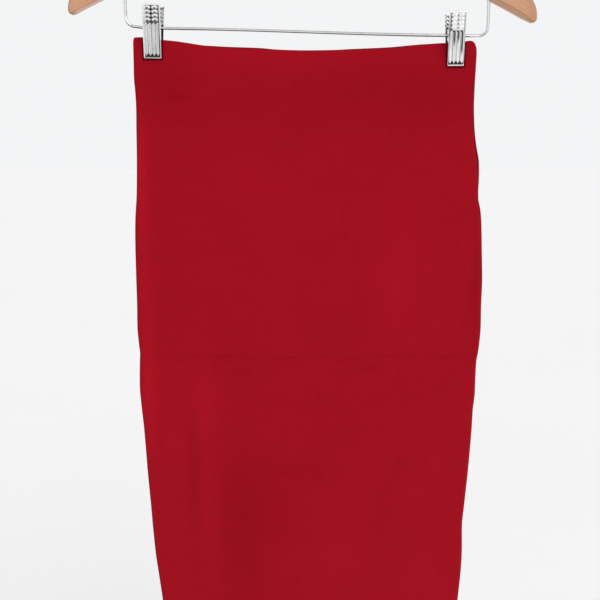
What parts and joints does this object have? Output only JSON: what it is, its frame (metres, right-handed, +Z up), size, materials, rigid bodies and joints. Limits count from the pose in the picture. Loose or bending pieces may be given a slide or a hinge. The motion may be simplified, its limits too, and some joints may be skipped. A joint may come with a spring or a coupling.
{
  "type": "bodycon maxi skirt on a clip hanger",
  "caption": "Plain close-fitting maxi skirt of stretch jersey, hung flat by sprung clips from the rail of a wooden hanger.",
  "frame": {"origin": "the place inside the hanger's hook that rests on a rail or wall hook", "axes": "+Z up, +X to the right of someone who faces the front, -Y the way the front looks"},
  "size_m": [0.4423, 0.0286, 1.1461],
  "materials": {
    "red_jersey": "matt stretch jersey",
    "pale_wood": "satin lacquer",
    "chromed_steel": "polished"
  },
  "bodies": {
    "root": {"skirt_front": "red_jersey", "skirt_back": "red_jersey", "hanger_wood": "pale_wood", "hanger_hook": "chromed_steel", "hanger_rail": "chromed_steel", "clip_left_front_jaw": "chromed_steel", "clip_left_back_jaw": "chromed_steel", "clip_left_spring": "chromed_steel", "clip_right_front_jaw": "chromed_steel", "clip_right_back_jaw": "chromed_steel", "clip_right_spring": "chromed_steel"}
  },
  "joints": []
}
